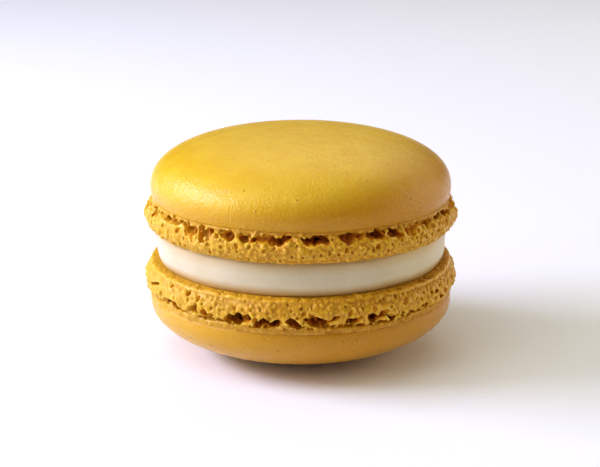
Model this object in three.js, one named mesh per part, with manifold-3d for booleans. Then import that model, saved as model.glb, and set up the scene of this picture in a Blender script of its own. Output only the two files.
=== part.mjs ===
// A french macaron that stands on its lower shell: two baked almond shells with a disc of cream
// between them. A shell is a smooth dome with a lip, and beside the lip is its foot, a spongy ring
// with a row of open pockets.
// Lengths are in millimetres and +Z is up. The origin is the middle of the flat spot that the
// macaron rests on. Angles go round the Z axis from the front, -Y, towards the right, +X.
import * as THREE from "three";
import { mergeVertices } from "three/addons/utils/BufferGeometryUtils.js";
import Module from "manifold-3d";

const wasm = await Module();
wasm.setup();

// The cream: a disc whose side swells a little between rounded edges, and is hardly wavy.
const FILLING = {
  seed: 5,
  height: 4.9,
  radius: 20.65,
  edgeRadius: 20.25,
  sideFullness: 4,
  waves: { waves: [2, 9], size: 0.07 },
  steps: 72,
  rings: 6,
};

// The shells. Each height is a distance from the shell's own flat face, towards its dome.
// A foot profile runs from the rim to the lip in shares: [0 at the rim radius to 1 at the foot
// radius, 0 at the face to 1 at the lip]. A pocket is [angle, height, width round the foot, opening].
const UPPER_SHELL = {
  name: "shell_top",
  seed: 11,
  towardsDome: 1,
  rimRadius: 21.5,
  footRadius: 22.5,
  footProfile: [
    [0, 0.02],
    [0.65, 0.11],
    [1, 0.28],
    [0.95, 0.43],
    [0.75, 0.57],
    [0.45, 0.71],
    [0, 0.85],
  ],
  lipHeight: 4.45,
  lipRadius: 21.2,
  domeRadius: 21.45,
  domeWidest: 5.6,
  domeRise: 7.7,
  domeFullness: 2.4,
  flatSpotRadius: 0,
  pocketHeight: 3.45,
  frontPockets: [
    [-69, 3.4, 1.8, 0.7],
    [-59, 3.8, 1.6, 0.9],
    [-52, 3.6, 1.3, 0.8],
    [-44, 3.3, 2.3, 1.2],
    [-36, 3.2, 2.3, 1.5],
    [-27, 3.4, 2.1, 1.1],
    [-19, 3.5, 1.3, 1.4],
    [-13, 3.4, 1.3, 0.7],
    [-7, 3.5, 1.8, 1.5],
    [5, 3.4, 3.6, 1.2],
    [19, 3.6, 3.6, 1.4],
    [28, 3.5, 2.1, 0.9],
    [35, 3.3, 2.6, 1.2],
    [43, 3.2, 2.2, 1.7],
    [49, 3.7, 1.5, 1.2],
    [54, 3.3, 1.6, 1.8],
    [61, 3.7, 2.0, 1.3],
    [69, 3.6, 2.4, 1.6],
  ],
};
const LOWER_SHELL = {
  name: "shell_bottom",
  seed: 23,
  towardsDome: -1,
  rimRadius: 21.7,
  footRadius: 22.5,
  footProfile: [
    [0, 0.02],
    [0.4, 0.16],
    [0.9, 0.31],
    [1, 0.46],
    [0.92, 0.6],
    [0.55, 0.7],
    [0.2, 0.8],
  ],
  lipHeight: 5,
  lipRadius: 21.6,
  domeRadius: 21.7,
  domeWidest: 5.75,
  domeRise: 7.6,
  domeFullness: 2.16,
  flatSpotRadius: 5.5,
  pocketHeight: 3.1,
  frontPockets: [
    [-67, 1.6, 1.6, 0.9],
    [-58, 3.2, 1.4, 0.7],
    [-50, 3.3, 1.5, 0.9],
    [-41, 2.7, 1.8, 0.9],
    [-35, 3.1, 1.9, 0.9],
    [-25, 3.1, 2.5, 1.2],
    [-20, 2.6, 2.2, 1.1],
    [-12, 3.1, 3.5, 1.2],
    [-2, 3.3, 1.4, 1.0],
    [6, 3.0, 2.8, 1.1],
    [18, 3.2, 1.9, 1.1],
    [28, 3.0, 2.2, 1.1],
    [34, 3.2, 1.8, 1.0],
    [43, 3.1, 1.3, 0.7],
    [50, 3.1, 2.0, 0.7],
    [58, 1.9, 2.3, 1.1],
    [68, 2.9, 1.6, 0.7],
  ],
};

// Pockets round the sides and back. Each size goes through its range by its own uneven step.
const BACK_POCKETS = {
  count: 23,
  from: 78,
  gap: 9,
  angle: { range: [-2, 2], step: 0.618 },
  height: { range: [-0.35, 0.35], step: 0.377 },
  width: { range: [1.4, 3.4], step: 0.755 },
  opening: { range: [0.8, 1.7], step: 0.57 },
};
// The hollows that pockets are cut with: how deep they go, and how rough their few faces are.
const POCKET_DEPTH = 1.5;
const POCKET_SIDES = 7;
const POCKET_BANDS = 4;
const POCKET_TILT = 0.35;
const POCKET_CENTRE_BEYOND_LIP = 0.25;

// Relief of the foot: long ruffles, short ones, and a crumbly unevenness from point to point, which
// is less along the rim by the face.
const RUFFLES = [
  { waves: [5, 11], size: 0.11 },
  { waves: [17, 37], size: 0.13 },
];
const RUFFLE_WAVES = 4;
const RUFFLE_LEAN = 1.6;
const CRUMB = 0.16;
const RIM_SHARE_OF_CRUMB = 0.3;

const FACE_FLAT_RADIUS = 20.9;
const FOOT_STEPS = 132;
const DOME_STEPS = 60;
const DOME_RINGS = 8;

const SHELL_FINISH = { color: 0xe0a92e, roughness: 0.55, metalness: 0 };
const FILLING_FINISH = { color: 0xf4ead6, roughness: 0.45, metalness: 0 };

// Repeatable random numbers from 0 to 1.
function randomFrom(seed) {
  let state = seed;
  return () => {
    state = (state + 0x6d2b79f5) | 0;
    let mixed = Math.imul(state ^ (state >>> 15), 1 | state);
    mixed = (mixed + Math.imul(mixed ^ (mixed >>> 7), 61 | mixed)) ^ mixed;
    return ((mixed ^ (mixed >>> 14)) >>> 0) / 2 ** 32;
  };
}

const between = (random, [low, high]) => low + (high - low) * random();
const spread = (random, size) => size * (2 * random() - 1);

// A point at a distance from the Z axis, at an angle from the front.
function polar(radius, angle, z) {
  return [radius * Math.sin(angle), -radius * Math.cos(angle), z];
}

// A smooth function of angle and height, made of a few waves round the axis that lean as they rise.
function waviness(random, { waves, size }) {
  const parts = Array.from({ length: RUFFLE_WAVES }, () => ({
    count: Math.round(between(random, waves)),
    phase: between(random, [0, 2 * Math.PI]),
    lean: spread(random, RUFFLE_LEAN),
  }));
  return (angle, height) =>
    (size / Math.sqrt(RUFFLE_WAVES)) *
    parts.reduce(
      (sum, { count, phase, lean }) =>
        sum + Math.SQRT2 * Math.sin(count * angle + phase + lean * height),
      0,
    );
}

// A ring of points round the axis; pointAt(angle) gives a radius and a height.
function ring(steps, pointAt) {
  return Array.from({ length: steps }, (_, step) => {
    const angle = (2 * Math.PI * step) / steps;
    const [radius, height] = pointAt(angle);
    return polar(radius, angle, height);
  });
}

// A closed body whose skin runs over a list of rings, each either one point on the axis or a ring
// of any number of points. Neighbouring rings are zipped by stepping along the one that lags.
function bodyOfRings(rings) {
  const points = [];
  const starts = rings.map((ringPoints) => points.push(...ringPoints) - ringPoints.length);
  const faces = [];
  for (let upper = 1; upper < rings.length; upper += 1) {
    const [lowerCount, upperCount] = [rings[upper - 1].length, rings[upper].length];
    const lowerPoint = (i) => starts[upper - 1] + (i % lowerCount);
    const upperPoint = (i) => starts[upper] + (i % upperCount);
    const lowerSteps = lowerCount === 1 ? 0 : lowerCount;
    const upperSteps = upperCount === 1 ? 0 : upperCount;
    let [low, up] = [0, 0];
    while (low < lowerSteps || up < upperSteps) {
      const lowerLags = (low + 1) * upperCount <= (up + 1) * lowerCount;
      if (up === upperSteps || (low < lowerSteps && lowerLags)) {
        faces.push(lowerPoint(low), lowerPoint(low + 1), upperPoint(up));
        low += 1;
      } else {
        faces.push(lowerPoint(low), upperPoint(up + 1), upperPoint(up));
        up += 1;
      }
    }
  }
  const geometry = new THREE.BufferGeometry();
  geometry.setAttribute("position", new THREE.Float32BufferAttribute(points.flat(), 3));
  geometry.setIndex(faces);
  return geometry;
}

function solidOf(geometry) {
  const bare = geometry.clone();
  bare.deleteAttribute("normal");
  bare.deleteAttribute("uv");
  const merged = mergeVertices(bare);
  return new wasm.Manifold(
    new wasm.Mesh({
      numProp: 3,
      vertProperties: merged.attributes.position.array,
      triVerts: new Uint32Array(merged.index.array),
    }),
  );
}

function geometryOf(solid) {
  const { vertProperties, triVerts } = solid.getMesh();
  const geometry = new THREE.BufferGeometry();
  geometry.setAttribute("position", new THREE.Float32BufferAttribute(vertProperties, 3));
  geometry.setIndex([...triVerts]);
  return geometry;
}

// The dome is a quarter of a superellipse, cut off flat where it is as narrow as the flat spot.
// share is 0 at the dome's widest level and 1 at the flat spot or the very top.
function domeAt(shell, share) {
  const { domeRadius, domeRise, domeWidest, domeFullness, flatSpotRadius } = shell;
  const power = 2 / domeFullness;
  const turn = share * Math.acos((flatSpotRadius / domeRadius) ** (1 / power));
  return {
    radius: domeRadius * Math.cos(turn) ** power,
    height: domeWidest + domeRise * Math.sin(turn) ** power,
  };
}

// Below its widest level the dome goes on down to the lip.
function domeRings(shell) {
  const { domeRadius, domeWidest, lipRadius, lipHeight } = shell;
  const rings = [
    { radius: lipRadius, height: lipHeight },
    { radius: (lipRadius + 2 * domeRadius) / 3, height: (lipHeight + domeWidest) / 2 },
  ];
  for (let step = 0; step < DOME_RINGS; step += 1)
    rings.push(domeAt(shell, step / DOME_RINGS));
  if (shell.flatSpotRadius > 0) rings.push(domeAt(shell, 1));
  return rings;
}

const shellHeight = (shell) => domeAt(shell, 1).height;

function pocketsOf(shell) {
  const { count, from, gap, angle, height, width, opening } = BACK_POCKETS;
  const draw = ({ range: [low, high], step }, index) =>
    low + (high - low) * (((index + shell.seed) * step) % 1);
  const backPockets = Array.from({ length: count }, (_, index) => [
    from + gap * index + draw(angle, index),
    shell.pocketHeight + draw(height, index),
    draw(width, index),
    draw(opening, index),
  ]);
  return [...shell.frontPockets, ...backPockets];
}

// A pocket is an egg-shaped hollow that opens through the side of the foot.
function pocketGeometry(shell, random, [degrees, height, width, opening]) {
  const angle = THREE.MathUtils.degToRad(degrees);
  const geometry = new THREE.SphereGeometry(1, POCKET_SIDES, POCKET_BANDS);
  geometry.rotateY(between(random, [0, Math.PI]));
  geometry.scale(width / 2, POCKET_DEPTH, opening / 2);
  geometry.rotateY(spread(random, POCKET_TILT));
  geometry.rotateZ(angle);
  const radius = shell.lipRadius + POCKET_CENTRE_BEYOND_LIP;
  geometry.translate(...polar(radius, angle, shell.towardsDome * height));
  return geometry;
}

function shellMesh(shell, faceHeight) {
  const random = randomFrom(shell.seed);
  const { towardsDome, rimRadius, footRadius, lipHeight } = shell;
  const ruffles = RUFFLES.map((ruffle) => waviness(random, ruffle));
  const footRings = shell.footProfile.map(([out, up], level) =>
    ring(FOOT_STEPS, (angle) => {
      const height = up * lipHeight;
      const crumb = level === 0 ? RIM_SHARE_OF_CRUMB : 1;
      const ruffled = ruffles.reduce((sum, ruffle) => sum + ruffle(angle, height), 0);
      const radius = rimRadius + out * (footRadius - rimRadius);
      return [
        radius + crumb * (ruffled + spread(random, CRUMB)),
        towardsDome * (height + crumb * spread(random, CRUMB)),
      ];
    }),
  );
  const faceRing = ring(FOOT_STEPS, () => [FACE_FLAT_RADIUS, 0]);
  const domes = domeRings(shell).map(({ radius, height }) =>
    ring(DOME_STEPS, () => [radius, towardsDome * height]),
  );
  const crown = [[0, 0, towardsDome * shellHeight(shell)]];
  const rings = [[[0, 0, 0]], faceRing, ...footRings, ...domes, crown];
  if (towardsDome < 0) rings.reverse();
  let solid = solidOf(bodyOfRings(rings));
  for (const pocket of pocketsOf(shell))
    solid = solid.subtract(solidOf(pocketGeometry(shell, random, pocket)));
  const mesh = new THREE.Mesh(geometryOf(solid), new THREE.MeshStandardMaterial(SHELL_FINISH));
  mesh.name = shell.name;
  mesh.position.z = faceHeight;
  return mesh;
}

function fillingMesh(bottomHeight) {
  const { height: thickness, radius, edgeRadius, sideFullness, steps, rings } = FILLING;
  const wave = waviness(randomFrom(FILLING.seed), FILLING.waves);
  const sides = Array.from({ length: rings }, (_, level) => {
    const share = level / (rings - 1);
    const height = share * thickness;
    const swell = (1 - Math.abs(2 * share - 1) ** sideFullness) * (radius - edgeRadius);
    return ring(steps, (angle) => [edgeRadius + swell + wave(angle, height), height]);
  });
  const geometry = bodyOfRings([[[0, 0, 0]], ...sides, [[0, 0, thickness]]]);
  const mesh = new THREE.Mesh(geometry, new THREE.MeshStandardMaterial(FILLING_FINISH));
  mesh.name = "filling";
  mesh.position.z = bottomHeight;
  return mesh;
}

const lowerFaceHeight = shellHeight(LOWER_SHELL);
const upperFaceHeight = lowerFaceHeight + FILLING.height;

const macaron = new THREE.Group();
macaron.add(
  shellMesh(LOWER_SHELL, lowerFaceHeight),
  fillingMesh(lowerFaceHeight),
  shellMesh(UPPER_SHELL, upperFaceHeight),
);

export default macaron;
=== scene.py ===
"""Looks of a french macaron: two golden almond shells with a disc of pale cream between them.

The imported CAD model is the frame. Its shells and filling are replaced by finer meshes of the same
form: each shell's foot is carved in a fine grid round the axis, with open pockets, pores and
knobs, and its dome is a plain surface of revolution. Shapes are worked out in millimetres.
Angles go round the Z axis from the front, -Y, towards the right, +X.
"""

import math

import bpy
import numpy as np
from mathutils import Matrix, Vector


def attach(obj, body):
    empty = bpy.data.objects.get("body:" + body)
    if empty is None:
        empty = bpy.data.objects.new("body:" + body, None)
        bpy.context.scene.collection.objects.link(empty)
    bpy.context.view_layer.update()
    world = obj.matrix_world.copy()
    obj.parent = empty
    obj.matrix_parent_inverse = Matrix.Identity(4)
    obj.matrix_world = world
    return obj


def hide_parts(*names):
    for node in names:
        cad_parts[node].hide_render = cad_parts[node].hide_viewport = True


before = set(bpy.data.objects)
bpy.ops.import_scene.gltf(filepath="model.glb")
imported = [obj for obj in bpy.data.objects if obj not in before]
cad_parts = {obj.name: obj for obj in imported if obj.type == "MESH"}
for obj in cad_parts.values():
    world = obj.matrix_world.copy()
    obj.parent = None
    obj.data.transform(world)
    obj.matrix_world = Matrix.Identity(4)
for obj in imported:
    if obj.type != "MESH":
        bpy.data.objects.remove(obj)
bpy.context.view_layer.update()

MM = 0.001

# ---------------------------------------------------------------- sizes, in millimetres

# The cream's side bulges between its two edges. Each power says how late it turns in to its edge.
FILLING = {
    "height": 4.9,
    "radius": 20.65,
    "bottom_radius": 19.95,
    "bottom_power": 3,
    "top_radius": 20.3,
    "top_power": 6,
    "steps": 360,
    "rings": 36,
    "seed": 5,
    "waves": 8,
    "waves_round": (2, 14),
    "wave_height": 0.03,
    # The stain and painted shade by the shells reach so far up from the bottom and down from the top; at
    # the top they start short of full by the last number.
    "tinted_from_bottom": 1.6,
    "tinted_from_top": 2.4,
    "least_from_top": 0.2,
}

# Heights in a shell are distances from its flat face, towards its dome. A foot profile runs from
# the rim to the lip in shares of the foot's reach and of the lip's height. The face slopes away
# from the cream by the first of its slopes at the front and back, and by the second at the sides.
# The browning, partly painted shade, is a share at heights over the lip. A pocket is (angle in degrees,
# height, width round the foot, opening), and a bubble is (angle in degrees, height, radius).
UPPER_SHELL = {
    "name": "shell_top",
    "seed": 11,
    "towards_dome": 1,
    "rim_radius": 21.4,
    "foot_radius": 22.32,
    "foot_profile": [
        (0, 0.02),
        (0.4, 0.11),
        (0.8, 0.24),
        (1, 0.38),
        (0.96, 0.52),
        (0.75, 0.64),
        (0.45, 0.75),
        (0, 0.87),
    ],
    "face_slopes": (0.15, 0.15),
    "lip_height": 4.45,
    "skirt": 0.57,
    "lip_radius": 21.2,
    "crease": 0.08,
    "dome_radius": 21.45,
    "dome_widest": 5.6,
    "dome_rise": 7.7,
    "dome_fullness": 2.4,
    "flat_spot_radius": 0,
    # Browned towards the crease, partly as painted shade.
    "browned_and_shaded": [(1.9, 1.1), (4.6, 0)],
    "pocket_height": 3.45,
    "pocket_depth": 1.1,
    "seam_depth": 0.3,
    "front_pockets": [
        (-98, 1.7, 2.6, 1.1),
        (-69, 3.4, 1.8, 0.7),
        (-59, 3.9, 1.6, 0.9),
        (-52, 3.7, 1.3, 0.8),
        (-44, 3.4, 2.3, 1.2),
        (-36, 3.2, 2.3, 1.5),
        (-27, 3.5, 2.1, 1.1),
        (-20, 3.6, 1.2, 1.4),
        (-16, 3.6, 0.9, 0.7),
        (-13, 3.4, 1.3, 0.7),
        (-8, 3.5, 1.8, 1.5),
        (-5, 3.8, 0.9, 0.6),
        (5, 3.4, 3.4, 1.0),
        (19, 3.6, 3.6, 1.4),
        (28, 3.5, 2.1, 0.9),
        (35, 3.3, 2.6, 1.2),
        (43, 3.2, 2.2, 1.7),
        (49, 3.8, 1.5, 1.2),
        (54, 3.3, 1.6, 1.8),
        (60, 3.8, 1.7, 1.3),
        (69, 3.6, 2.4, 1.6),
    ],
    "front_bubbles": [
        (-70, 4.2, 0.3),
        (-58, 1.6, 0.26),
        (-54, 4.2, 0.26),
        (-50, 2.7, 0.37),
        (-42, 2.4, 0.37),
        (-39, 4.0, 0.22),
        (-29, 2.0, 0.16),
        (-25, 1.7, 0.15),
        (-19, 0.7, 0.18),
        (10, 2.0, 0.2),
        (12, 2.7, 0.2),
        (16, 2.0, 0.28),
        (18, 1.6, 0.2),
        (26, 1.6, 0.21),
        (27, 2.1, 0.17),
        (36, 2.1, 0.21),
        (38, 3.9, 0.21),
        (45, 1.6, 0.21),
    ],
}
LOWER_SHELL = {
    "name": "shell_bottom",
    "seed": 23,
    "towards_dome": -1,
    "rim_radius": 21.7,
    "foot_radius": 22.47,
    "foot_profile": [
        (0, 0.02),
        (0.4, 0.16),
        (0.9, 0.31),
        (1, 0.46),
        (0.92, 0.6),
        (0.55, 0.7),
        (0.2, 0.8),
    ],
    "face_slopes": (0.15, -0.16),
    "lip_height": 5.0,
    "skirt": 1.05,
    "lip_radius": 21.6,
    "crease": 0.03,
    "dome_radius": 21.7,
    "dome_widest": 5.75,
    "dome_rise": 7.6,
    "dome_fullness": 2.07,
    "flat_spot_radius": 5.5,
    # Browned all over, partly as painted shade on the lower shell.
    "browned_and_shaded": [(0, 1.25), (8.4, 1.15)],
    "pocket_height": 3.1,
    "pocket_depth": 2.2,
    "seam_depth": 0.75,
    "front_pockets": [
        (-67, 1.6, 1.4, 0.5),
        (-58, 3.2, 1.4, 0.6),
        (-50, 3.3, 1.5, 0.8),
        (-41, 2.7, 1.8, 0.9),
        (-35, 3.1, 1.9, 0.9),
        (-25, 3.1, 2.5, 1.1),
        (-20, 2.6, 2.4, 1.1),
        (-12, 3.1, 3.5, 1.1),
        (-2, 3.3, 1.4, 0.9),
        (6, 3.0, 2.8, 1.0),
        (12, 2.5, 1.0, 0.5),
        (18, 3.2, 1.9, 1.0),
        (28, 3.0, 2.2, 1.1),
        (34, 3.2, 1.8, 1.0),
        (38.5, 3.2, 1.0, 0.6),
        (43, 3.1, 1.3, 0.6),
        (50, 3.1, 2.2, 0.6),
        (57, 2.7, 1.0, 0.7),
        (58, 1.9, 1.3, 0.7),
        (62, 3.0, 0.9, 0.5),
        (68, 2.9, 1.6, 0.6),
    ],
    "front_bubbles": [
        (-68, 1.7, 0.37),
        (-62, 0.4, 0.29),
        (-61, 2.8, 0.29),
        (-44, 0.8, 0.4),
        (-39, 1.1, 0.33),
        (-20, 0.5, 0.18),
        (21, 3.8, 0.18),
        (22, 1.4, 0.21),
        (26, 2.3, 0.35),
        (31, 0.7, 0.29),
        (36, 0.7, 0.26),
        (36, 1.6, 0.21),
        (40, 1.4, 0.33),
        (42, 0.6, 0.18),
        (48, 0.6, 0.22),
        (50, 1.2, 0.22),
        (63, 0.4, 0.29),
        (68, 0.7, 0.18),
        (72, 0.4, 0.26),
    ],
}

# Keeps the lowest points above the floor when they are rounded.
FLOOR_GAP = 0.00005

# Pockets round the sides and back. Each size goes through its range by its own uneven step.
BACK_COUNT = 23
BACK_FROM = 78
BACK_GAP = 9
BACK_ANGLE = ((-2, 2), 0.618)
BACK_HEIGHT = ((-0.35, 0.35), 0.377)
BACK_WIDTH = ((1.4, 3.4), 0.755)
BACK_OPENING = ((0.8, 1.7), 0.57)

# A pocket is a row of hollow lobes that narrow to points, centred just under the skin. Each lobe's
# place, lean and shares of the pocket's sizes are drawn from ranges. Noises make its walls and the
# roof under the skirt uneven.
POCKET = {
    "lobe_width": 1.2,
    "row": 0.85,
    "shift": (-0.1, 0.1),
    "half_width": (0.6, 0.78),
    "half_height": (0.85, 1.15),
    "up": (-0.2, 0.2),
    "depth": (0.75, 1.1),
    "lean": (-0.6, 0.6),
    "under_skin": 0.06,
    "pointed": 1.45,
    "widened": 0.15,
    "wall_noises": (0.12, 0.1, 0.09),
    "roof_noises": (0.1, 0.1),
    "roof_rounding": 0.08,
    "blend": 0.06,
    "margin": 0.5,
}

# The grid in which a foot is carved. It goes from under the face to over the lip. The deepest
# pockets go through its inner edge, and the mesh has openings there.
STEP = 0.13
ANGLES = 1000
TURN = 2 * math.pi / ANGLES
INNER_RADIUS = 19.5
OUTER_RADIUS = 22.95
STEPS_UNDER_FACE = 2.5
GRID_ABOVE_LIP = 0.75
SIDE_RADIUS = 22.0

# The side's outline is worked out at fine heights and smoothed over a short length. By the face it
# has a thin line with a groove over it, each given by its height, its half width and its depth.
# Under the dome it turns in to a crease and out again, at shares of the lip's height.
OUTLINE_FROM = -1
OUTLINE_TO = 7
OUTLINE_STEPS = 1600
OUTLINE_SMOOTHED = 20
RIM_LINE = (0.12, 0.1, 0.085)
RIM_GROOVE = (0.5, 0.25, 0.085)
CREASE_STARTS = (0.94, 0.12)
CREASE_AT = 0.98
CREASE_ENDS = (1.01, 0.03)

# The foot's skin is uneven by noises with bumps of these sizes: coarse, middle, fine and grain.
NOISE_SIZES = (3.2, 1.3, 0.65, 0.32)
COARSE_HEIGHT = 0.07
FINE_HEIGHT = 0.02
GRAIN_HEIGHT = 0.012
FOOT_SUNK = 0.15
FOOT_ENDS = (0.02, 0.4)

# It is folded into lumps that are drawn out upwards, with small lumps on them.
LUMPS = {
    "size": 0.75,
    "drawn_out": 1.5,
    "height": 0.17,
    "middle": 0.8,
    "softness": 0.06,
    "most": 0.18,
    "rounding": 0.08,
    "small_height": 0.02,
    "small_most": 1.5,
}

# A broken seam runs round the foot just under the skirt.
SEAM = {"under_skirt": 0.25, "wander": 0.12, "half_width": 0.22, "cover": 0.45, "breaks": 0.8, "most": 1.2}

# Rounded dots are joined to the skin, or cut from it, in a band between two levels, each a distance
# from the face, the skirt, the lip or the pockets. The share of a dot's radius that is clear of the
# skin is drawn from a range. A dot can be deeper than wide, and up to so many times as tall.
KNOBS = {
    "count": 750,
    "band": (("face", 0.75), ("skirt", -0.2)),
    "radius": (0.22, 0.42),
    "clear": (0.22, 0.42),
    "blend": 0.09,
    "deep": 1,
    "tall": 1.5,
    "cut": False,
}
CRUMBS = {
    "count": 70,
    "band": (("face", 0.8), ("lip", -0.3)),
    "radius": (0.12, 0.2),
    "clear": (0.4, 0.7),
    "blend": 0.08,
    "deep": 1,
    "tall": 1,
    "cut": False,
}
BEADS = {
    "count": 110,
    "band": (("skirt", -0.1), ("lip", -0.25)),
    "radius": (0.18, 0.38),
    "clear": (0.3, 0.55),
    "blend": 0.1,
    "deep": 1,
    "tall": 1,
    "cut": False,
}
BUBBLES = {
    "count": 130,
    "band": (("pockets", -1.6), ("skirt", -0.15)),
    "radius": (0.18, 0.4),
    "clear": (0.0, 0.35),
    "blend": 0.05,
    "deep": 1.5,
    "tall": 1.5,
    "cut": True,
}
SEAM_HOLES = {
    "count": 110,
    "band": (("skirt", -0.5), ("skirt", 0)),
    "radius": (0.14, 0.26),
    "clear": (0.0, 0.25),
    "blend": 0.04,
    "deep": 1.4,
    "tall": 1.3,
    "cut": True,
}
PITS = {
    "count": 220,
    "band": (("face", 0.5), ("skirt", 0.2)),
    "radius": (0.13, 0.23),
    "clear": (0.0, 0.3),
    "blend": 0.03,
    "deep": 2.2,
    "tall": 1.8,
    "cut": True,
    "rarer_on_left": 0.75,
}
DOT_LEAN = 0.4
DOT_MARGIN = 0.25
SCATTER_DRAWS = 8

# Outside the cream the face slopes to the rim. Streaks drawn out from the axis make it uneven,
# and small crumbs stand on it.
FACE = {
    "from_radius": 20.1,
    "fade": 0.2,
    "slope_width": 1.6,
    "streak_size": 0.4,
    "streak_drawn_out": 4,
    "streak_height": 0.07,
    "streaks_fade": (21.25, 21.6),
    "streaks_at_rim": 0.1,
    "grain_height": 0.02,
    "rounding": 0.32,
    "crumbs": 850,
    "crumb_band": (0.05, 1.25),
    "crumb_radius": (0.09, 0.2),
    "crumb_sunk": 0.4,
    "crumb_blend": 0.06,
    "crumb_margin": 0.2,
}

# The openness of a place on the skin is the field's mean over so many cells on each side of it.
# It paints light where the skin stands out and shade in its gaps.
OPENNESS_REACH = 2

# Rings and triangles of the plain parts of a shell's mesh.
FACE_RING_STEPS = 100
FACE_RING_INSET = 1.5
RISERS = 3
DOME_STEPS = 400
DOME_STEPS_KEPT = 1.3
DOME_RINGS = 64
LEAST_RING_STEPS = 25
MOST_TRIANGLES = 190000

# The shells are browned, partly as painted shade, most towards one side, the right, away from the key
# light. There the browning and painted shade reach higher up the dome, and on the other side the foot
# stays golden, partly as painted light. The foot's colours fade in just under the lip. Its rim and its
# skirt are darkened in bands of painted shade: the rim's by heights over the face, and the skirt's by
# distances under the skirt's edge, down from that edge, under the lip and over the lip.
BROWNING_AND_SHADE_MOST_AT = 70
BROWNING_AND_SHADE_LESS = 0.7
BROWNING_AND_SHADE_REACH = (0.6, 1.85)
BROWNING_AND_SHADE_REACH_POWER = 3
FOOT_FADES = 0.2
RIM_SHADE_BAND = (0.15, 0.4, 1.0, 2.0)
SKIRT_SHADE_BAND = (0.2, 0, 0.1, 0.3)

# ---------------------------------------------------------------- colours, camera and lights

DOME_YELLOW = (0.75, 0.452, 0.014, 1)
DOME_PALE = (0.78, 0.5, 0.022, 1)
# Browning and painted shade, towards the crease, the right side and the lower shell.
CREASE_AMBER_AND_SHADE = (0.57, 0.252, 0.003, 1)
# Painted shade of a few pinholes in the dome.
PINHOLE_SHADE_BROWN = (0.30, 0.12, 0.006, 1)
FOOT_TAN = (0.62, 0.295, 0.004, 1)
FOOT_FLECK = (0.705, 0.3925, 0.017, 1)
# Painted light on what stands out on the foot.
FOOT_PAINTED_LIGHT = (0.79, 0.49, 0.03, 1)
# Golden, partly painted light on the foot's left side.
FOOT_GOLDEN_AND_LIT = (0.73, 0.48, 0.025, 1)
# Painted shade in the foot's gaps and in bands at its rim and skirt.
FOOT_SHADE_AMBER = (0.42, 0.15, 0.001, 1)
# Painted shade deeper in the pockets, orange and then brown.
POCKET_SHADE_ORANGE = (0.74, 0.3, 0.004, 1)
POCKET_SHADE_BROWN = (0.46, 0.135, 0.003, 1)
CREAM = (0.64, 0.545, 0.33, 1)
CREAM_PALE = (0.68, 0.59, 0.385, 1)
# Stain and painted shade, warmed by painted bounced light, where the cream meets the shells.
CREAM_STAINED_AND_SHADED = (0.57, 0.35, 0.085, 1)
FLOOR_WHITE = (0.91, 0.935, 0.965, 1)
WORLD_WHITE = (1, 1, 1, 1)

# From here on distances are in metres, except the lens and its sensor, which are in millimetres.
CAMERA_ELEVATION = 15.9
CAMERA_DISTANCE = 0.2524
CAMERA_LENS = 105
CAMERA_SENSOR = 36
AIM = Vector((-0.0001, 0, 0.0163))
FLOOR_HALF_SIZE = 1.5
WORLD_STRENGTH = 0.02

# Soft lights: name, angle round from the front, angle up, size, power and colour.
LIGHT_DISTANCE = 0.5
LIGHTS = [
    ("key", -93, 28, (0.32, 0.1), 2.35, (0.98, 0.965, 1.4)),
    ("key_front", -66, 36, (0.5, 0.5), 0.62, (1, 0.98, 0.92)),
    ("front", -13, 58, (0.7, 0.6), 0.8, (1, 0.935, 0.74)),
    ("left_low", -84, 9, (0.7, 0.5), 0.95, (0.92, 0.99, 1.3)),
    ("left_top", -85, 70, (0.4, 0.4), 0.55, (1, 0.97, 0.96)),
    ("right", 103, 17, (0.6, 0.3), 1.22, (1, 0.88, 0.64)),
    ("back", 165, 42, (0.5, 0.4), 0.62, (1, 0.97, 0.9)),
]

# ---------------------------------------------------------------- distances and noise


def rounded_max(a, b, width):
    """The larger of two distances, with a rounded change from one to the other."""
    overlap = np.clip(0.5 + 0.5 * (a - b) / width, 0, 1)
    return b + (a - b) * overlap + width * overlap * (1 - overlap)


def rounded_min(a, b, width):
    """The smaller of two distances, with a rounded change from one to the other."""
    return -rounded_max(-a, -b, width)


def spline_weights(positions, count, wraps):
    """Rows of cubic B-spline weights that sample a lattice of count values at each position."""
    whole = np.floor(positions).astype(int)
    t = positions - whole
    pieces = [(1 - t) ** 3, 3 * t**3 - 6 * t**2 + 4, -3 * t**3 + 3 * t**2 + 3 * t + 1, t**3]
    weights = np.zeros((len(positions), count))
    rows = np.arange(len(positions))
    for offset, piece in enumerate(pieces):
        column = whole + offset - 1
        column = column % count if wraps else np.clip(column, 0, count - 1)
        np.add.at(weights, (rows, column), piece / 6)
    return weights


def blurred(field, reach):
    """The field's mean over a block of cells on each side; above 0 on a skin that bulges out."""
    around = sum(np.roll(field, shift, axis=0) for shift in range(-reach, reach + 1))
    for axis in (1, 2):
        pads = [(reach, reach) if axis == other else (0, 0) for other in range(3)]
        padded = np.pad(around, pads, mode="edge")
        size = around.shape[axis]
        around = sum(padded.take(range(shift, shift + size), axis=axis) for shift in range(2 * reach + 1))
    return around / (2 * reach + 1) ** 3


# ---------------------------------------------------------------- a shell's outline and pockets


def dome_at(shell, share):
    """Radius and height of the dome, from its widest level (0) to its flat spot or top (1)."""
    power = 2 / shell["dome_fullness"]
    turn = share * math.acos((shell["flat_spot_radius"] / shell["dome_radius"]) ** (1 / power))
    radius = shell["dome_radius"] * math.cos(turn) ** power
    return radius, shell["dome_widest"] + shell["dome_rise"] * math.sin(turn) ** power


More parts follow.
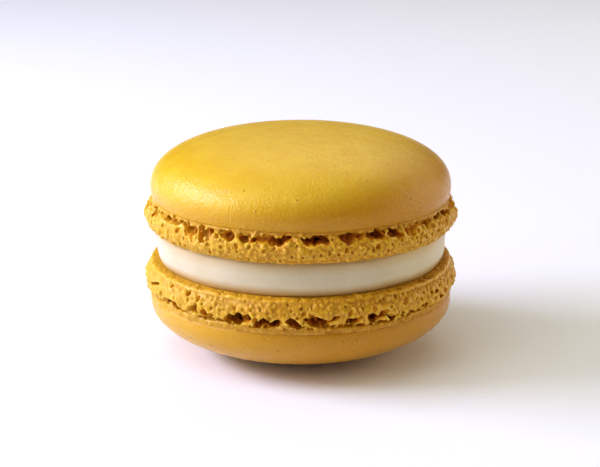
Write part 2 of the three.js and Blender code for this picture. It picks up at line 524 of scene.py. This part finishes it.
def side_radius(shell, heights):
    """The shell's radius over its height, from the rim past the lip to the dome's widest level."""
    rim, lip, lip_radius = shell["rim_radius"], shell["lip_height"], shell["lip_radius"]
    reach = shell["foot_radius"] - rim
    points = [(up * lip, rim + out * reach) for out, up in shell["foot_profile"]]
    points.append((lip * CREASE_STARTS[0], lip_radius + CREASE_STARTS[1]))
    points.append((lip * CREASE_AT, lip_radius - shell["crease"]))
    points.append((lip * CREASE_ENDS[0], lip_radius + CREASE_ENDS[1]))
    points.append(((lip + shell["dome_widest"]) / 2, (lip_radius + 2 * shell["dome_radius"]) / 3))
    points.append((shell["dome_widest"], shell["dome_radius"]))
    fine = np.linspace(OUTLINE_FROM, OUTLINE_TO, OUTLINE_STEPS + 1)
    radii = np.interp(fine, *zip(*points))
    kernel = np.hanning(2 * OUTLINE_SMOOTHED + 1)
    radii = np.pad(radii, OUTLINE_SMOOTHED, mode="edge")
    radii = np.convolve(radii, kernel / kernel.sum(), mode="valid")

    def ridge(height, half_width, depth):
        return depth * np.exp(-(((fine - height) / half_width) ** 2))

    return np.interp(heights, fine, radii + ridge(*RIM_LINE) - ridge(*RIM_GROOVE))


def pockets_of(shell):
    """The shell's pockets at the front, as listed, and then those round its sides and back."""

    def draw(sizes, index):
        (low, high), step = sizes
        return low + (high - low) * ((index + shell["seed"]) * step % 1)

    pockets = list(shell["front_pockets"])
    for index in range(BACK_COUNT):
        angle = BACK_FROM + BACK_GAP * index + draw(BACK_ANGLE, index)
        height = shell["pocket_height"] + draw(BACK_HEIGHT, index)
        pockets.append((angle, height, draw(BACK_WIDTH, index), draw(BACK_OPENING, index)))
    return pockets


# ---------------------------------------------------------------- the foot of a shell


class Foot:
    """A shell's foot as distances to its skin over a grid round the axis, negative inside."""

    def __init__(self, shell):
        self.shell = shell
        self.rng = np.random.default_rng(shell["seed"])
        lip = shell["lip_height"]
        skirt = lip - shell["skirt"]
        self.levels = {"face": 0, "skirt": skirt, "lip": lip, "pockets": shell["pocket_height"]}
        lowest = -STEPS_UNDER_FACE * STEP
        count = round((lip + GRID_ABOVE_LIP - lowest) / STEP)
        # The skin leaves the grid's top in the middle of a cell, all the way round.
        top_radius = side_radius(shell, lowest + (count - 1.5) * STEP)
        inner = top_radius - STEP * (round((top_radius - INNER_RADIUS) / STEP) + 0.5)
        self.radius = np.arange(inner, OUTER_RADIUS, STEP)
        self.height = lowest + STEP * np.arange(count)
        under_lip, fade = FOOT_ENDS
        self.in_foot = np.clip((lip - under_lip - self.height) / fade, 0, 1)
        self.on_face = np.clip((self.radius - FACE["from_radius"]) / FACE["fade"], 0, 1)[None, :, None]

        # Every random draw comes from the one generator, so the order of these steps matters.
        self.coarse, self.middle, self.fine, self.grain = [self.noise(size) for size in NOISE_SIZES]
        folds = np.abs(self.noise(LUMPS["size"], upwards=LUMPS["drawn_out"]))
        streaks = self.noise(FACE["streak_size"], outwards=FACE["streak_drawn_out"])
        small_folds = np.abs(self.noise(LUMPS["size"] / 2))
        self.field = self.radius[None, :, None] - side_radius(shell, self.height)[None, None, :]
        self.field = self.field - self.ruffle(folds, small_folds)
        for kind in (KNOBS, CRUMBS, BEADS):
            self.add_dots(kind)
        self.shape_face(streaks)
        uncut = self.field.copy()
        for pocket in pockets_of(shell):
            self.cut_pocket(*pocket)
        for degrees, level, size in shell["front_bubbles"]:
            self.add_dot(BUBBLES, math.radians(degrees), level, size)
        for kind in (BUBBLES, SEAM_HOLES, PITS):
            self.add_dots(kind)
        self.field += GRAIN_HEIGHT * self.grain * self.in_foot * self.on_face
        self.measures = {"pocket_depth": -uncut, "openness": blurred(self.field, OPENNESS_REACH)}

    def noise(self, size, outwards=1.0, upwards=1.0):
        """A smooth random field over the grid with a spread of 1 and bumps of about that size,
        drawn out outwards and upwards that many times."""
        around = round(2 * math.pi * OUTER_RADIUS / size)
        samples = []
        for line, length in ((self.radius, size * outwards), (self.height, size * upwards)):
            positions = (line - line[0]) / length + 1
            samples.append(spline_weights(positions, int(positions[-1]) + 3, wraps=False))
        turn = np.arange(ANGLES) * around / ANGLES
        values = self.rng.standard_normal((around, samples[0].shape[1], samples[1].shape[1]))
        field = np.einsum("ia,abc->ibc", spline_weights(turn, around, wraps=True), values)
        field = np.einsum("jb,ibc->ijc", samples[0], field)
        field = np.einsum("kc,ijc->ijk", samples[1], field)
        return field / field.std()

    def ruffle(self, folds, small_folds):
        """How far the folded and seamed skin stands out from the plain outline."""
        lumps = LUMPS["height"] * (np.sqrt(folds**2 + LUMPS["softness"]) - LUMPS["middle"])
        lumps = lumps + LUMPS["small_height"] * np.minimum(small_folds, LUMPS["small_most"])
        lumps = rounded_min(lumps, LUMPS["most"], LUMPS["rounding"])
        # The lumps are low by the rim, full up to the skirt and about half as high on it.
        skirt = self.levels["skirt"]
        lumpy = np.interp(self.height, [0.1, 0.4, 1.1, skirt - 0.1, skirt + 0.1], [0.1, 0.4, 1, 1, 0.45])
        above_seam = self.height - (skirt - SEAM["under_skirt"]) - SEAM["wander"] * self.coarse
        seam = np.exp(-((above_seam / SEAM["half_width"]) ** 2))
        open_seam = np.clip(SEAM["cover"] + SEAM["breaks"] * self.middle, 0, SEAM["most"])
        uneven = COARSE_HEIGHT * self.coarse + FINE_HEIGHT * self.fine
        seam = self.shell["seam_depth"] * open_seam * seam
        return (uneven + lumpy * lumps - seam - FOOT_SUNK) * self.in_foot

    def skin_radius(self, angle, level):
        """How far from the axis the skin is now, at an angle and a level."""
        column = int(round(angle / (2 * math.pi) * ANGLES)) % ANGLES
        outwards = self.field[column, :, int(np.abs(self.height - level).argmin())]
        inside = np.nonzero(outwards < 0)[0]
        return self.radius[inside[-1]] + STEP / 2 if len(inside) else 0

    def carve(self, shape, angle, level, reach, blend, cut):
        """Joins a shape to the foot, or cuts it out, inside a window round its place. The shape
        gives distances from those round the foot from its place, from the axis and upwards, and
        from the window's part of the grid."""
        half = int(reach / STEP) + 1
        centre = int(round(angle / TURN))
        columns = np.arange(centre - half, centre + half + 1)
        around = (columns * TURN - angle) * SIDE_RADIUS
        rows = np.nonzero(np.abs(self.height - level) <= reach)[0]
        if not len(rows):
            return
        up = self.height[rows] - level
        area = np.ix_(columns % ANGLES, np.arange(len(self.radius)), rows)
        distance = shape(around[:, None, None], self.radius[None, :, None], up[None, None, :], area)
        old = self.field[area]
        self.field[area] = rounded_max(old, -distance, blend) if cut else rounded_min(old, distance, blend)

    def scatter(self, count, band, sizes):
        """Angles, levels and sizes spread over a band, each place the emptiest of a few draws."""
        places = np.zeros((0, 2))
        for _ in range(count):
            angles = self.rng.uniform(0, 2 * math.pi, SCATTER_DRAWS)
            draws = np.stack([angles, self.rng.uniform(*band, SCATTER_DRAWS)], 1)
            gaps = draws[:, None, :] - places[None, :, :]
            gaps[..., 0] = (gaps[..., 0] + math.pi) % (2 * math.pi) - math.pi
            distances = np.hypot(gaps[..., 0] * SIDE_RADIUS, gaps[..., 1])
            best = draws[distances.min(axis=1, initial=9).argmax()]
            places = np.vstack([places, best])
            yield best[0], best[1], self.rng.uniform(*sizes)

    def add_dot(self, kind, angle, level, size):
        """A dot joined to the foot or cut from it, at an angle and a level."""
        deep, cut = kind["deep"], kind["cut"]
        tall = self.rng.uniform(1, kind["tall"])
        lean = self.rng.uniform(-DOT_LEAN, DOT_LEAN)
        clear = deep * size * self.rng.uniform(*kind["clear"])
        centre = self.skin_radius(angle, level) + (clear if cut else clear - size)

        def dot(around, radius, up, _):
            across = (around + lean * up) ** 2 + ((radius - centre) / deep) ** 2 + (up / tall) ** 2
            return np.sqrt(across) - size

        self.carve(dot, angle, level, tall * size + DOT_MARGIN, kind["blend"], cut)

    def add_dots(self, kind):
        """All dots of a kind, spread over its band. Some kinds are rarer towards the left."""
        band = [self.levels[name] + offset for name, offset in kind["band"]]
        for angle, level, size in self.scatter(kind["count"], band, kind["radius"]):
            left = (1 - math.sin(angle)) / 2
            if self.rng.random() < 1 - kind.get("rarer_on_left", 0) * left:
                self.add_dot(kind, angle, level, size)

    def face_slope(self, angle):
        """How steeply the face slopes away from the cream, at an angle or at several."""
        front, side = self.shell["face_slopes"]
        return front + (side - front) * np.sin(angle) ** 2

    def shape_face(self, streaks):
        """Cuts the foot off at the sloping face, and roughens that outside the cream."""
        start = FACE["from_radius"]
        slope = self.face_slope(np.arange(ANGLES) * 2 * math.pi / ANGLES)[:, None, None]
        slope = slope * np.clip(self.radius - start, 0, FACE["slope_width"])[None, :, None]
        fade = [start, start + FACE["fade"], *FACE["streaks_fade"]]
        streaked = FACE["streak_height"] * np.interp(self.radius, fade, [0, 1, 1, FACE["streaks_at_rim"]])
        face = slope + streaked[None, :, None] * streaks
        face = face + FACE["grain_height"] * self.on_face * self.grain - self.height[None, None, :]
        self.field = rounded_max(self.field, face, FACE["rounding"])
        for angle, out, size in self.scatter(FACE["crumbs"], FACE["crumb_band"], FACE["crumb_radius"]):
            centre = start + out
            sunk = self.face_slope(angle) * out + size * FACE["crumb_sunk"]

            def crumb(around, radius, up, _):
                return np.sqrt(around**2 + (radius - centre) ** 2 + up**2) - size

            self.carve(crumb, angle, sunk, size + FACE["crumb_margin"], FACE["crumb_blend"], cut=False)

    def cut_pocket(self, degrees, level, width, opening):
        """Cuts a pocket as a row of lobes."""
        lobes = max(1, round(width / POCKET["lobe_width"]))
        for lobe in range(lobes):
            share = (lobe + 0.5) / lobes - 0.5
            shift = share * width * POCKET["row"] + self.rng.uniform(*POCKET["shift"])
            turn = math.radians(degrees) + shift / SIDE_RADIUS
            half = width / lobes * self.rng.uniform(*POCKET["half_width"])
            tall = opening / 2 * self.rng.uniform(*POCKET["half_height"])
            place = level + self.rng.uniform(*POCKET["up"]) * opening
            size = min(1, opening)
            deep = self.shell["pocket_depth"] * size * self.rng.uniform(*POCKET["depth"])
            lean = self.rng.uniform(*POCKET["lean"])
            skin = side_radius(self.shell, place) - FOOT_SUNK
            hollow = self.pocket_lobe(place, half, tall, deep, lean, skin - POCKET["under_skin"], size)
            self.carve(hollow, turn, place, max(half, tall) + POCKET["margin"], POCKET["blend"], cut=True)

    def pocket_lobe(self, place, half, tall, deep, lean, centre, size):
        """The shape of one lobe of a pocket, for carve."""
        pointed = POCKET["pointed"]
        of_middle, of_fine, of_grain = POCKET["wall_noises"]
        roof_of_fine, roof_of_grain = POCKET["roof_noises"]

        def hollow(around, radius, up, area):
            middle, fine, grain = self.middle[area], self.fine[area], self.grain[area]
            walls = size * (of_middle * middle + of_fine * fine + of_grain * grain - POCKET["widened"])
            across = np.abs(around / half) ** pointed
            across = across + np.abs((up + lean * around) / tall) ** pointed
            scaled = np.sqrt(across ** (2 / pointed) + ((radius - centre) / deep) ** 2)
            roof = up + place - self.levels["skirt"] + roof_of_fine * fine + roof_of_grain * grain
            return rounded_max((scaled - 1) * tall + walls, roof, POCKET["roof_rounding"])

        return hollow


# ---------------------------------------------------------------- meshes

CELL_EDGES = [
    (corner, tuple(c + (axis == other) for other, c in enumerate(corner)))
    for axis in range(3)
    for corner in np.ndindex(2, 2, 2)
    if corner[axis] == 0
]


def corner_of_cells(values, offset):
    """The values at one corner of each cell of a grid."""
    return values[tuple(slice(o, o + n - 1) for o, n in zip(offset, values.shape))]


def net_faces(field, number):
    """Triangles across the grid's edges that the skin crosses, from the points' numbers by cell."""
    triangles = []
    inside = field < 0
    for axis in range(3):
        low = [slice(None)] * 3
        high = [slice(None)] * 3
        low[axis], high[axis] = slice(0, -1), slice(1, None)
        low_in, high_in = inside[tuple(low)], inside[tuple(high)]
        edges = np.argwhere(low_in != high_in)
        if axis != 0:
            edges = edges[edges[:, 0] < ANGLES]
        others = [other for other in range(3) if other != axis]
        for other in others:
            if other != 0:
                edges = edges[(edges[:, other] > 0) & (edges[:, other] < number.shape[other])]
        around = []
        for first, second in ((0, 0), (1, 0), (1, 1), (0, 1)):
            cell = edges.copy()
            cell[:, others[0]] -= first
            cell[:, others[1]] -= second
            cell[:, 0] %= ANGLES
            around.append(number[tuple(cell.T)])
        quads = np.stack(around, 1)
        leaves = low_in[tuple(edges.T)]
        turned = leaves if axis != 1 else ~leaves
        quads[turned] = quads[turned][:, ::-1]
        triangles += [quads[:, [0, 1, 2]], quads[:, [0, 2, 3]]]
    return np.concatenate(triangles)


def skin_of(foot):
    """The foot's skin, by surface nets: its points, its triangles, each measure at its points, and
    the number of the point in each cell, or -1."""
    field = np.concatenate([foot.field, foot.field[:1]])
    shape = tuple(n - 1 for n in field.shape)
    place = np.zeros(shape + (3,))
    count = np.zeros(shape)
    for start, end in CELL_EDGES:
        a, b = corner_of_cells(field, start), corner_of_cells(field, end)
        crosses = (a < 0) != (b < 0)
        share = np.where(crosses, a / np.where(crosses, a - b, 1), 0)
        for axis in range(3):
            along = start[axis] + share * (end[axis] - start[axis])
            place[..., axis] += np.where(crosses, along, 0)
        count += crosses
    used = count > 0
    number = np.full(shape, -1)
    number[used] = np.arange(used.sum())
    spot = np.argwhere(used) + place[used] / count[used][:, None]
    sampled = {}
    for name, values in foot.measures.items():
        values = np.concatenate([values, values[:1]])
        corners = (corner_of_cells(values, offset) for offset in np.ndindex(2, 2, 2))
        sampled[name] = sum(corners)[used] / 8

    angle = spot[:, 0] * 2 * math.pi / ANGLES
    radius = foot.radius[0] + spot[:, 1] * STEP
    height = foot.height[0] + spot[:, 2] * STEP
    points = np.stack([radius * np.sin(angle), -radius * np.cos(angle), height], 1)
    return points, net_faces(field, number), sampled, number


def zip_rings(lower, upper):
    """Triangles between two rings of point numbers, each ring one point or any number of them."""
    faces = []
    lower_steps = 0 if len(lower) == 1 else len(lower)
    upper_steps = 0 if len(upper) == 1 else len(upper)
    low = up = 0
    while low < lower_steps or up < upper_steps:
        lower_lags = (low + 1) * len(upper) <= (up + 1) * len(lower)
        if up == upper_steps or (low < lower_steps and lower_lags):
            faces.append((lower[low], lower[(low + 1) % len(lower)], upper[up % len(upper)]))
            low += 1
        else:
            faces.append((lower[low % len(lower)], upper[(up + 1) % len(upper)], upper[up]))
            up += 1
    return faces


def add_ring(points, steps, radius, height):
    """Adds a ring of points round the axis to the list, and returns their numbers."""
    first = len(points)
    for step in range(steps):
        angle = 2 * math.pi * step / steps
        points.append((radius * math.sin(angle), -radius * math.cos(angle), height))
    return list(range(first, len(points)))


def mesh_object(name, points, triangles, material, measures):
    """A smooth mesh on the one body, with its material and its measures at its points."""
    mesh = bpy.data.meshes.new(name)
    mesh.vertices.add(len(points))
    mesh.vertices.foreach_set("co", (np.asarray(points) * MM).ravel())
    mesh.loops.add(3 * len(triangles))
    mesh.loops.foreach_set("vertex_index", np.asarray(triangles, np.int32).ravel())
    mesh.polygons.add(len(triangles))
    mesh.polygons.foreach_set("loop_start", np.arange(0, 3 * len(triangles), 3, dtype=np.int32))
    mesh.update(calc_edges=True)
    mesh.validate()
    mesh.shade_smooth()
    for measure_name, values in measures.items():
        mesh.attributes.new(measure_name, "FLOAT", "POINT").data.foreach_set("value", values)
    mesh.materials.append(material)
    piece = bpy.data.objects.new(name, mesh)
    bpy.context.scene.collection.objects.link(piece)
    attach(piece, "root")
    return piece


def thin_out(piece, most):
    """Collapses a piece's flattest triangles, down to that many in all."""
    modifier = piece.modifiers.new("thin_out", "DECIMATE")
    modifier.ratio = min(1, most / len(piece.data.polygons))
    evaluated = piece.evaluated_get(bpy.context.evaluated_depsgraph_get())
    thinned = bpy.data.meshes.new_from_object(evaluated)
    piece.modifiers.clear()
    piece.data = thinned


def rings_over_foot(shell, start):
    """Radius and height of each ring over the foot's grid, up to the dome's flat spot or top."""
    rings = []
    for step in range(1, RISERS):
        level = start + (shell["dome_widest"] - start) * step / RISERS
        rings.append((float(side_radius(shell, level)), level))
    rings += [dome_at(shell, step / DOME_RINGS) for step in range(DOME_RINGS)]
    if shell["flat_spot_radius"] > 0:
        rings.append(dome_at(shell, 1))
    return rings


def colour_measures(shell, points):
    """Where the colours of a shell change: at its foot, in the painted shade of its rim and skirt, on its
    golden side, partly painted light, and by how it is browned and painted with shade.
    """
    above_lip = points[:, 2] - shell["lip_height"]
    angle = np.arctan2(points[:, 0], -points[:, 1])
    towards_most = (1 + np.cos(angle - math.radians(BROWNING_AND_SHADE_MOST_AT))) / 2
    reach = np.interp(towards_most**BROWNING_AND_SHADE_REACH_POWER, [0, 1], BROWNING_AND_SHADE_REACH)
    unevenly = 1 - BROWNING_AND_SHADE_LESS * (1 - towards_most)
    under, full, over, gone = SKIRT_SHADE_BAND
    skirt_shade_band = [-shell["skirt"] - under, -shell["skirt"] - full, -over, gone]
    return {
        "foot": np.clip(-above_lip / FOOT_FADES, 0, 1),
        # The rim and skirt bands are painted shade.
        "rim": np.interp(points[:, 2], RIM_SHADE_BAND, [0, 1, 1, 0]),
        "skirt": np.interp(above_lip, skirt_shade_band, [0, 1, 1, 0]),
        # Partly painted light on the side away from the browning.
        "golden_and_lit": 1 - towards_most,
        # Browning and painted shade, most on the right and towards the crease.
        "browned_and_shaded": unevenly * np.interp(above_lip / reach, *zip(*shell["browned_and_shaded"])),
    }


def make_shell(shell, face_height, material):
    """One mesh of the carved foot, the flat face in the middle and the plain dome."""
    foot = Foot(shell)
    points, triangles, measures, number = skin_of(foot)
    points = [tuple(p) for p in points]
    faces = []

    face_level = int(np.searchsorted(foot.height, 0)) - 1
    inner = list(number[:, 0, face_level])
    ring = add_ring(points, FACE_RING_STEPS, foot.radius[0] - FACE_RING_INSET, 0)
    faces += zip_rings(ring, inner)
    centre = add_ring(points, 1, 0, 0)
    faces += zip_rings(centre, ring)

    last = number[:, :, -1]
    column = int(np.argmax(last[0] >= 0))
    below = list(last[:, column])
    assert min(inner) >= 0 and min(below) >= 0
    for radius, level in rings_over_foot(shell, foot.height[-1] - STEP / 2):
        steps = int(DOME_STEPS * min(1, DOME_STEPS_KEPT * radius / shell["dome_radius"]))
        ring = add_ring(points, max(LEAST_RING_STEPS, steps), radius, level)
        faces += zip_rings(below, ring)
        below = ring
    crown = add_ring(points, 1, 0, dome_at(shell, 1)[1])
    faces += zip_rings(below, crown)

    points = np.array(points)
    triangles = np.concatenate([triangles, np.array(faces)])
    for name, values in measures.items():
        measures[name] = np.concatenate([values, np.zeros(len(points) - len(values))])
    measures.update(colour_measures(shell, points))
    points[:, 2] *= shell["towards_dome"]
    points[:, 2] += face_height
    if shell["towards_dome"] < 0:
        triangles = triangles[:, ::-1]
    piece = mesh_object(shell["name"] + "_baked", points, triangles, material, measures)
    thin_out(piece, MOST_TRIANGLES)
    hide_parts(shell["name"])


def make_filling(bottom_height, material):
    """The disc of cream, with a bulging and slightly wavy side."""
    rng = np.random.default_rng(FILLING["seed"])
    steps = FILLING["steps"]
    angle = np.arange(steps) * 2 * math.pi / steps
    waves = [
        (rng.integers(*FILLING["waves_round"]), rng.uniform(0, 2 * math.pi), rng.uniform(-1, 1))
        for _ in range(FILLING["waves"])
    ]
    points = []
    numbers = []
    for level in range(FILLING["rings"]):
        share = level / (FILLING["rings"] - 1)
        height = share * FILLING["height"]
        half = "bottom" if share < 0.5 else "top"
        edge, power = FILLING[half + "_radius"], FILLING[half + "_power"]
        drawn_in = abs(2 * share - 1) ** power * (FILLING["radius"] - edge)
        wave = sum(np.sin(count * angle + phase + lean * height) for count, phase, lean in waves)
        radius = FILLING["radius"] - drawn_in + FILLING["wave_height"] * wave
        first = len(points)
        points += list(zip(radius * np.sin(angle), -radius * np.cos(angle), np.full(steps, height)))
        numbers.append(list(range(first, first + steps)))
    bottom = add_ring(points, 1, 0, 0)
    top = add_ring(points, 1, 0, FILLING["height"])
    faces = []
    for lower, upper in zip([bottom] + numbers, numbers + [top]):
        faces += zip_rings(lower, upper)
    points = np.array(points)
    # Where the cream is stained and painted with shade near the shells.
    from_bottom = points[:, 2] / FILLING["tinted_from_bottom"]
    from_top = (FILLING["height"] - points[:, 2]) / FILLING["tinted_from_top"]
    from_shell = np.minimum(from_bottom, FILLING["least_from_top"] + from_top)
    measures = {"near_shell": np.clip(1 - from_shell, 0, 1)}
    points[:, 2] += bottom_height
    piece = mesh_object("filling_cream", points, np.array(faces), material, measures)
    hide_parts("filling")


# ---------------------------------------------------------------- materials


def new_material(name):
    """A new material, its node tree and its shader."""
    material = bpy.data.materials.new(name)
    material.use_nodes = True
    return material, material.node_tree, material.node_tree.nodes["Principled BSDF"]


def node(tree, kind, inputs, **settings):
    """Adds a shader node. An input is a value, or another node's output to link from."""
    made = tree.nodes.new("ShaderNode" + kind)
    for name, value in settings.items():
        setattr(made, name, value)
    for name, value in inputs.items():
        if isinstance(value, bpy.types.NodeSocket):
            tree.links.new(value, made.inputs[name])
        else:
            made.inputs[name].default_value = value
    return made


def spread_out(tree, value, low, high, at_low=0.0, at_high=1.0):
    """A value changed evenly, from at_low where it is low or past it, to at_high where it is high."""
    inputs = {"Value": value, "From Min": low, "From Max": high, "To Min": at_low, "To Max": at_high}
    return node(tree, "MapRange", inputs).outputs["Result"]


def measure(tree, name, low, high, at_low=0.0, at_high=1.0):
    """A piece's own measure, spread out."""
    attribute = node(tree, "Attribute", {}, attribute_name=name)
    return spread_out(tree, attribute.outputs["Fac"], low, high, at_low, at_high)


def noise_texture(tree, place, size, detail, roughness=0.5):
    """A noise texture with grains of about that many millimetres."""
    inputs = {"Vector": place, "Scale": 1 / (size * MM), "Detail": detail, "Roughness": roughness}
    return node(tree, "TexNoise", inputs).outputs["Fac"]


def mixed(tree, share, first, second):
    """The first colour changed to the second by that share."""
    inputs = {"Factor": share, "A": first, "B": second}
    return node(tree, "Mix", inputs, data_type="RGBA").outputs["Result"]


def product(tree, first, second):
    return node(tree, "Math", {0: first, 1: second}, operation="MULTIPLY").outputs["Value"]


def rare_dots(tree, place, spacing, rim, centre, channel, rare_from, rare_to):
    """Round dots, 1 in the middle and 0 outside, in those cells whose random channel is high."""
    cells = node(tree, "TexVoronoi", {"Vector": place, "Scale": 1 / (spacing * MM)})
    chance = node(tree, "SeparateColor", {"Color": cells.outputs["Color"]}).outputs[channel]
    dots = spread_out(tree, cells.outputs["Distance"], rim, centre)
    return product(tree, dots, spread_out(tree, chance, rare_from, rare_to))


def bumped(tree, height, depth, under=None):
    """A normal bent by a height that goes from 0 to 1 over that many millimetres."""
    inputs = {"Height": height, "Strength": 1.0, "Distance": depth * MM}
    if under is not None:
        inputs["Normal"] = under
    return node(tree, "Bump", inputs).outputs["Normal"]


def dome_colour(tree, place):
    """Mottled yellow, browned and painted with shade towards the crease, on the right and over the lower
    shell, with a few dark dots of painted shade for pinholes.
    """
    mottled = spread_out(tree, noise_texture(tree, place, size=3.5, detail=5), low=0.38, high=0.66)
    colour = mixed(tree, mottled, DOME_YELLOW, DOME_PALE)
    # Browning and painted shade on the dome's lower and right parts.
    colour = mixed(tree, measure(tree, "browned_and_shaded", low=0.0, high=1.0), colour, CREASE_AMBER_AND_SHADE)
    # Dark dots of painted shade for a few pinholes.
    pinhole_shade = rare_dots(tree, place, 3.4, rim=0.05, centre=0.03, channel="Green", rare_from=0.8, rare_to=0.84)
    return mixed(tree, pinhole_shade, colour, PINHOLE_SHADE_BROWN)


def foot_colour(tree, place):
    """Flecked tan, with pale painted light on what stands out, amber painted shade in the gaps and in
    bands at the rim and skirt, orange to brown painted shade deeper in the pockets, and golden on one
    side, partly painted light.
    """
    flecks = spread_out(tree, noise_texture(tree, place, size=0.45, detail=2), low=0.3, high=0.7)
    colour = mixed(tree, flecks, FOOT_TAN, FOOT_FLECK)
    for name, low, high, towards in (
        # Painted shade in the gaps and painted light on what stands out.
        ("openness", 0.03, -0.08, FOOT_SHADE_AMBER),
        ("openness", 0.04, 0.12, FOOT_PAINTED_LIGHT),
        # Bands of painted shade at the rim and on the skirt.
        ("rim", 0.0, 8.0, FOOT_SHADE_AMBER),
        ("skirt", 0.0, 2.6, FOOT_SHADE_AMBER),
        # Painted shade, orange and then brown, deeper in the pockets.
        ("pocket_depth", 0.2, 0.5, POCKET_SHADE_ORANGE),
        ("pocket_depth", 0.45, 1.15, POCKET_SHADE_BROWN),
        # Partly painted light on the foot's left side.
        ("golden_and_lit", 0.38, 1.4, FOOT_GOLDEN_AND_LIT),
    ):
        colour = mixed(tree, measure(tree, name, low, high), colour, towards)
    return colour


def shell_material():
    """Baked almond meringue: a satin dome with fine pimples over a dull, porous foot."""
    material, tree, shader = new_material("almond_shell")
    place = node(tree, "TexCoord", {}).outputs["Object"]
    shader.inputs["Specular IOR Level"].default_value = 0.37
    shader.inputs["Specular Tint"].default_value = (1, 0.95, 0.8, 1)
    shader.inputs["Subsurface Weight"].default_value = 0.3
    shader.inputs["Subsurface Scale"].default_value = 0.8 * MM
    shader.inputs["Subsurface Radius"].default_value = (1.0, 0.5, 0.15)

    on_foot = measure(tree, "foot", low=0.0, high=1.0)
    colour = mixed(tree, on_foot, dome_colour(tree, place), foot_colour(tree, place))
    tree.links.new(colour, shader.inputs["Base Color"])

    # On the foot, what stands out shines more than the gaps and the pockets.
    foot_gloss = measure(tree, "openness", low=-0.06, high=0.06, at_low=0.75, at_high=0.3)
    gloss = node(tree, "Mix", {"Factor": on_foot, "A": 0.26, "B": foot_gloss}).outputs["Result"]
    tree.links.new(gloss, shader.inputs["Roughness"])

    smooth = measure(tree, "foot", low=0.0, high=1.0, at_low=1.0, at_high=0.3)
    pimples = noise_texture(tree, place, size=0.3, detail=2, roughness=0.6)
    normal = bumped(tree, product(tree, smooth, pimples), depth=0.12)
    waves = noise_texture(tree, place, size=0.9, detail=1)
    normal = bumped(tree, product(tree, smooth, waves), depth=0.08, under=normal)
    beads = rare_dots(tree, place, 1.5, rim=0.16, centre=0.05, channel="Red", rare_from=0.7, rare_to=0.75)
    normal = bumped(tree, beads, depth=0.12, under=normal)
    tree.links.new(normal, shader.inputs["Normal"])
    return material


def cream_material():
    """Smooth pale cream, stained by the shells where it meets them, and there darkened with painted shade
    and warmed with painted bounced light.
    """
    material, tree, shader = new_material("cream")
    place = node(tree, "TexCoord", {}).outputs["Object"]
    shader.inputs["Roughness"].default_value = 0.36
    shader.inputs["Subsurface Weight"].default_value = 0.4
    shader.inputs["Subsurface Scale"].default_value = 2 * MM
    shader.inputs["Subsurface Radius"].default_value = (1.0, 0.8, 0.6)
    tone = spread_out(tree, noise_texture(tree, place, size=4, detail=3), low=0.35, high=0.65)
    colour = mixed(tree, tone, CREAM, CREAM_PALE)
    # Stain and painted shade, with warm painted bounced light, near the shells.
    colour = mixed(tree, measure(tree, "near_shell", low=0.0, high=1.05), colour, CREAM_STAINED_AND_SHADED)
    tree.links.new(colour, shader.inputs["Base Color"])
    normal = bumped(tree, noise_texture(tree, place, size=0.7, detail=3), depth=0.05)
    tree.links.new(normal, shader.inputs["Normal"])
    return material


# ---------------------------------------------------------------- camera, lights and floor


def make_camera():
    camera = bpy.data.cameras.new("camera")
    camera.lens = CAMERA_LENS
    camera.sensor_width = CAMERA_SENSOR
    holder = bpy.data.objects.new("camera", camera)
    lift = math.radians(CAMERA_ELEVATION)
    back = Vector((0, -math.cos(lift), math.sin(lift)))
    holder.location = AIM + back * CAMERA_DISTANCE
    holder.rotation_euler = (-back).to_track_quat("-Z", "Y").to_euler()
    bpy.context.scene.collection.objects.link(holder)
    bpy.context.scene.camera = holder


def area_light(name, around, up, size, power, colour):
    """A soft light at an angle round from the front and an angle up, aimed at the macaron."""
    light = bpy.data.lights.new(name, "AREA")
    light.shape = "RECTANGLE"
    light.size, light.size_y = size
    light.energy = power
    light.color = colour
    holder = bpy.data.objects.new(name, light)
    around, up = math.radians(around), math.radians(up)
    level = math.cos(up)
    towards = Vector((level * math.sin(around), -level * math.cos(around), math.sin(up)))
    holder.location = AIM + towards * LIGHT_DISTANCE
    holder.rotation_euler = (-towards).to_track_quat("-Z", "Y").to_euler()
    bpy.context.scene.collection.objects.link(holder)


def make_stage():
    """A dim white world, a plain pale floor and the lights."""
    world = bpy.data.worlds.new("world")
    world.use_nodes = True
    background = world.node_tree.nodes["Background"]
    background.inputs["Color"].default_value = WORLD_WHITE
    background.inputs["Strength"].default_value = WORLD_STRENGTH
    bpy.context.scene.world = world
    bpy.context.scene.view_settings.view_transform = "Standard"
    mesh = bpy.data.meshes.new("floor")
    half = FLOOR_HALF_SIZE
    corners = [(-half, -half, 0), (half, -half, 0), (half, half, 0), (-half, half, 0)]
    mesh.from_pydata(corners, [], [(0, 1, 2, 3)])
    floor = bpy.data.objects.new("floor", mesh)
    bpy.context.scene.collection.objects.link(floor)
    material, _, shader = new_material("floor")
    shader.inputs["Base Color"].default_value = FLOOR_WHITE
    shader.inputs["Roughness"].default_value = 0.7
    floor.data.materials.append(material)
    for light in LIGHTS:
        area_light(*light)


lower_face = dome_at(LOWER_SHELL, 1)[1] + FLOOR_GAP
upper_face = lower_face + FILLING["height"]

make_camera()
make_stage()
shell_finish = shell_material()
make_shell(LOWER_SHELL, lower_face, shell_finish)
make_filling(lower_face, cream_material())
make_shell(UPPER_SHELL, upper_face, shell_finish)
